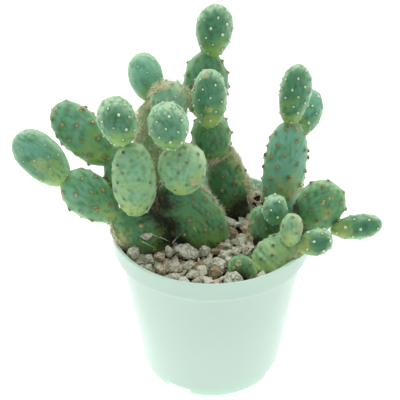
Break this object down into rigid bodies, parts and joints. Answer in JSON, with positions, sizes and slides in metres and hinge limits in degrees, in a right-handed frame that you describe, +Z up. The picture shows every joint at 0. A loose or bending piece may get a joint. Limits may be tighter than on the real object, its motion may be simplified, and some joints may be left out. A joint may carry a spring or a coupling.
{
  "type": "potted paddle cactus",
  "caption": "Small clustering prickly pear with oval pads in a white plastic nursery pot, top-dressed with pumice stones; stands on a flat surface.",
  "frame": {"origin": "on the surface that the pot stands on, under the middle of the plant's whole spread; the pot's own axis is 5.5 mm from it towards +X", "axes": "+Z up out of the pot, -Y towards the front of the plant, +X to its right as seen from the front"},
  "size_m": [0.1566, 0.09, 0.167],
  "materials": {
    "pot_plastic": "satin",
    "potting_soil": "matte",
    "pumice_gravel": "matte",
    "stone_grey": "matte",
    "stone_beige": "matte",
    "stone_brown": "matte",
    "stone_orange": "matte",
    "dried_cactus": "matte",
    "old_pad_skin": "satin",
    "young_pad_skin": "satin",
    "pale_pad_skin": "satin",
    "corky_pad_skin": "matte"
  },
  "bodies": {
    "root": {"back_root_pad": "old_pad_skin", "back_young_pad": "young_pad_skin", "corky_stem_pad": "corky_pad_skin", "corky_top_pad": "corky_pad_skin", "dried_pad": "dried_cactus", "front_root_pad": "pale_pad_skin", "front_side_pad": "young_pad_skin", "front_tip_pad": "young_pad_skin", "half_buried_pad": "old_pad_skin", "left_arm_pad": "old_pad_skin", "left_arm_tip_pad": "young_pad_skin", "left_back_pad": "old_pad_skin", "left_back_tip_pad": "old_pad_skin", "left_pale_pad": "pale_pad_skin", "left_root_pad": "old_pad_skin", "left_young_pad": "young_pad_skin", "low_new_pad": "young_pad_skin", "low_root_pad": "old_pad_skin", "middle_pale_pad": "pale_pad_skin", "middle_root_pad": "old_pad_skin", "middle_young_pad": "young_pad_skin", "pot": "pot_plastic", "pumice_gravel": "pumice_gravel", "right_arm_tip_pad": "young_pad_skin", "right_root_pad": "old_pad_skin", "right_side_pad": "young_pad_skin", "right_top_pad": "young_pad_skin", "round_root_pad": "old_pad_skin", "soil": "potting_soil", "stack_front_pad": "young_pad_skin", "stack_root_pad": "old_pad_skin", "stack_second_pad": "old_pad_skin", "stack_third_pad": "old_pad_skin", "stack_top_pad": "young_pad_skin", "stone_beige_03": "stone_beige", "stone_beige_14": "stone_beige", "stone_beige_21": "stone_beige", "stone_brown_19": "stone_brown", "stone_brown_20": "stone_brown", "stone_brown_23": "stone_brown", "stone_grey_01": "stone_grey", "stone_grey_02": "stone_grey", "stone_grey_04": "stone_grey", "stone_grey_05": "stone_grey", "stone_grey_06": "stone_grey", "stone_grey_07": "stone_grey", "stone_grey_08": "stone_grey", "stone_grey_09": "stone_grey", "stone_grey_10": "stone_grey", "stone_grey_11": "stone_grey", "stone_grey_12": "stone_grey", "stone_grey_13": "stone_grey", "stone_grey_15": "stone_grey", "stone_grey_16": "stone_grey", "stone_grey_17": "stone_grey", "stone_grey_18": "stone_grey", "stone_grey_22": "stone_grey", "stone_grey_25": "stone_grey", "stone_grey_26": "stone_grey", "stone_orange_24": "stone_orange"}
  },
  "joints": []
}
